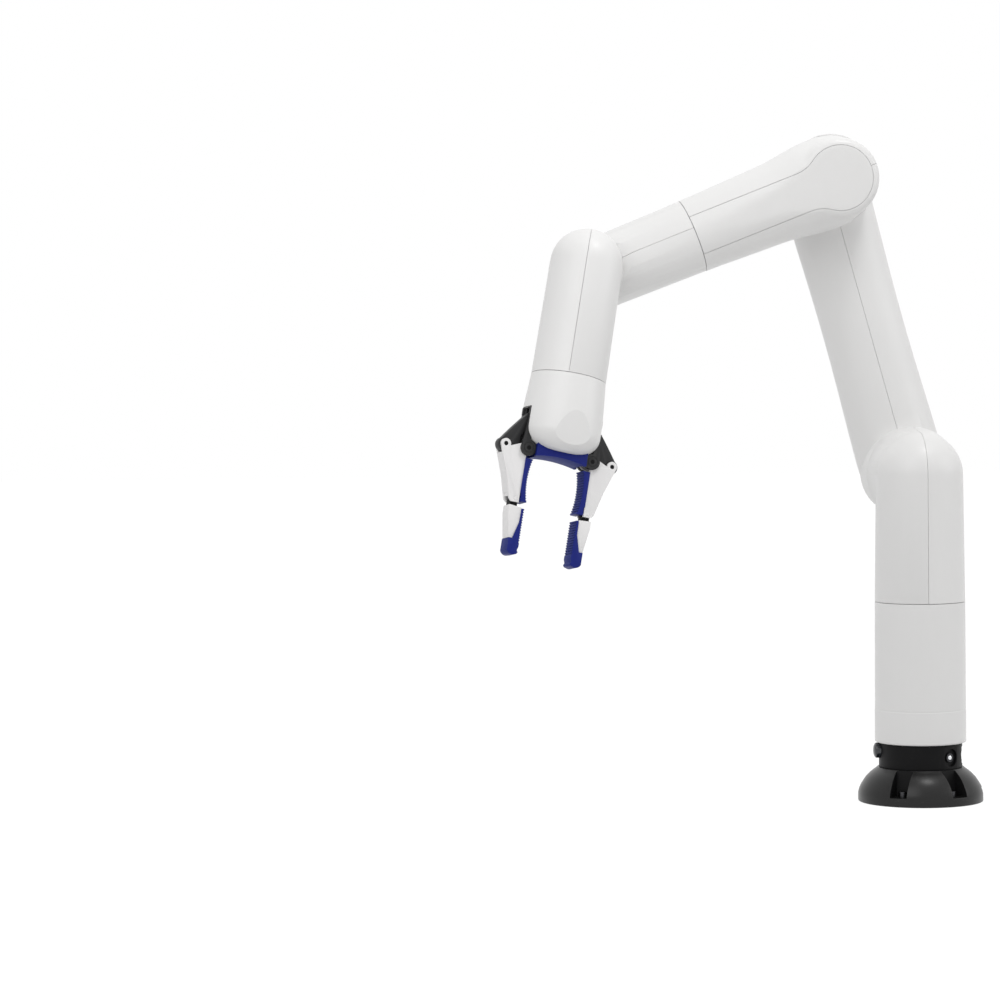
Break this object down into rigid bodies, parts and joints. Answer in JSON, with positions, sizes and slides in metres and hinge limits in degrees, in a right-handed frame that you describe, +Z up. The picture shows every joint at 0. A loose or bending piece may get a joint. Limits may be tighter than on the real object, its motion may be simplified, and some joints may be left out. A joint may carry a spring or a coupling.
{
  "type": "collaborative robot arm",
  "caption": "Six-axis desk robot arm with smooth round links, an offset shoulder and elbow, a two-finger gripper and a screw-down domed foot.",
  "frame": {"origin": "centre of the foot's underside, on the base joint's axis, where the screw pattern's centre is", "axes": "+Z up along the base joint's axis; the foot's front is -X and its cable opening is at +X; at rest the arm reaches towards -X"},
  "size_m": [0.4468, 0.2354, 0.6212],
  "materials": {
    "aluminium": "turned aluminium",
    "button_metal": "polished dome",
    "charcoal": "matt charcoal plastic",
    "flange_grey": "dark grey semi-gloss paint",
    "neck_black": "matt black",
    "pad_blue": "soft blue rubber with fine ribs",
    "steel": "turned steel",
    "white_shell": "satin white moulded shell"
  },
  "bodies": {
    "base": {"mount_flange": "flange_grey", "flange_bolts": "steel", "mount_neck": "neck_black", "neck_lock_screws": "steel", "connector_panel": "neck_black", "base_shell": "white_shell", "base_actuator": "aluminium", "base_bearing": "steel"},
    "button": {"power_button": "button_metal"},
    "shoulder": {"shoulder_shell_left": "white_shell", "shoulder_shell_right": "white_shell", "base_output_flange": "aluminium", "shoulder_actuator": "aluminium", "shoulder_bearing": "steel"},
    "upper_arm": {"upper_arm_shell_left": "white_shell", "upper_arm_shell_right": "white_shell", "shoulder_output_flange": "aluminium", "elbow_actuator": "aluminium", "elbow_bearing": "steel"},
    "forearm": {"forearm_cover": "white_shell", "forearm_shell_lower": "white_shell", "forearm_shell_upper": "white_shell", "elbow_output_flange": "aluminium", "roll_actuator": "aluminium", "roll_bearing": "steel"},
    "wrist": {"wrist_shell_upper": "white_shell", "wrist_shell_lower": "white_shell", "roll_output_flange": "aluminium", "bend_actuator": "aluminium", "bend_bearing": "steel"},
    "hand_link": {"hand_link_shell_left": "white_shell", "hand_link_shell_right": "white_shell", "bend_output_flange": "aluminium", "hand_actuator": "aluminium", "hand_bearing": "steel"},
    "gripper": {"gripper_shell": "white_shell", "palm_pad": "pad_blue", "gripper_motor": "aluminium", "hand_output_flange": "aluminium", "left_bracket": "charcoal", "right_bracket": "charcoal", "left_pivot_pin": "steel", "right_pivot_pin": "steel"},
    "yoke": {"crosshead": "steel", "left_push_link": "charcoal", "right_push_link": "charcoal"},
    "left_finger": {"left_proximal_link": "white_shell", "left_proximal_pad": "pad_blue", "left_finger_pins": "steel"},
    "right_finger": {"right_proximal_link": "white_shell", "right_proximal_pad": "pad_blue", "right_finger_pins": "steel"},
    "left_tip": {"left_distal_link": "white_shell", "left_distal_pad": "pad_blue"},
    "right_tip": {"right_distal_link": "white_shell", "right_distal_pad": "pad_blue"}
  },
  "joints": [
    {"name": "base_yaw", "type": "hinge", "parent": "base", "child": "shoulder", "pos_m": [0, 0, 0.1825], "axis": [0, 0, 1], "range_deg": [-154, 154]},
    {"name": "shoulder_pitch", "type": "hinge", "parent": "shoulder", "child": "upper_arm", "pos_m": [-0.00115, 0.02998, 0.2975], "axis": [-0.0384, 0.9993, 0], "range_deg": [-80, 160]},
    {"name": "elbow_pitch", "type": "hinge", "parent": "upper_arm", "child": "forearm", "pos_m": [-0.07639, 0.02709, 0.56719], "axis": [0.0384, -0.9993, 0], "range_deg": [-240, 50]},
    {"name": "forearm_roll", "type": "hinge", "parent": "forearm", "child": "wrist", "pos_m": [-0.20597, 0.00209, 0.51633], "axis": [-0.931, -0.0358, -0.3633], "range_deg": [-252, 45]},
    {"name": "wrist_bend", "type": "hinge", "parent": "wrist", "child": "hand_link", "pos_m": [-0.30504, -0.02947, 0.4843], "axis": [-0.0461, -0.9757, 0.2143], "range_deg": [-185, 66]},
    {"name": "hand_roll", "type": "hinge", "parent": "hand_link", "child": "gripper", "pos_m": [-0.32447, -0.07865, 0.38921], "axis": [-0.1726, -0.2036, -0.9637], "range_deg": [-127, 170]},
    {"name": "power_button_press", "type": "slide", "parent": "base", "child": "button", "axis": [1, 0, 0], "range_m": [0, 0.002], "stiffness_N_per_m": 400, "springref_m": -0.001},
    {"name": "gripper_drive", "type": "slide", "parent": "gripper", "child": "yoke", "axis": [-0.1726, -0.2036, -0.9637], "range_m": [-0.0043, 0.00805]},
    {"name": "left_finger_close", "type": "hinge", "parent": "gripper", "child": "left_finger", "pos_m": [-0.36497, -0.10154, 0.32867], "axis": [0.3193, -0.9371, 0.1408], "range_deg": [-12.5, 23]},
    {"name": "right_finger_close", "type": "hinge", "parent": "gripper", "child": "right_finger", "pos_m": [-0.30813, -0.08425, 0.31484], "axis": [-0.3193, 0.9371, -0.1408], "range_deg": [-12.5, 23]},
    {"name": "left_tip_curl", "type": "hinge", "parent": "left_finger", "child": "left_tip", "pos_m": [-0.37664, -0.11204, 0.28524], "axis": [0.3193, -0.9371, 0.1408], "range_deg": [-15.6, 8.5]},
    {"name": "right_tip_curl", "type": "hinge", "parent": "right_finger", "child": "right_tip", "pos_m": [-0.31234, -0.09248, 0.2696], "axis": [-0.3193, 0.9371, -0.1408], "range_deg": [-15.6, 8.5]}
  ],
  "couplings": [
    {"joint": "left_finger_close", "follows": "gripper_drive", "rad_per_m": 48.78},
    {"joint": "right_finger_close", "follows": "gripper_drive", "rad_per_m": 48.78},
    {"joint": "left_tip_curl", "follows": "gripper_drive", "rad_per_m": -32.98},
    {"joint": "right_tip_curl", "follows": "gripper_drive", "rad_per_m": -32.98}
  ]
}
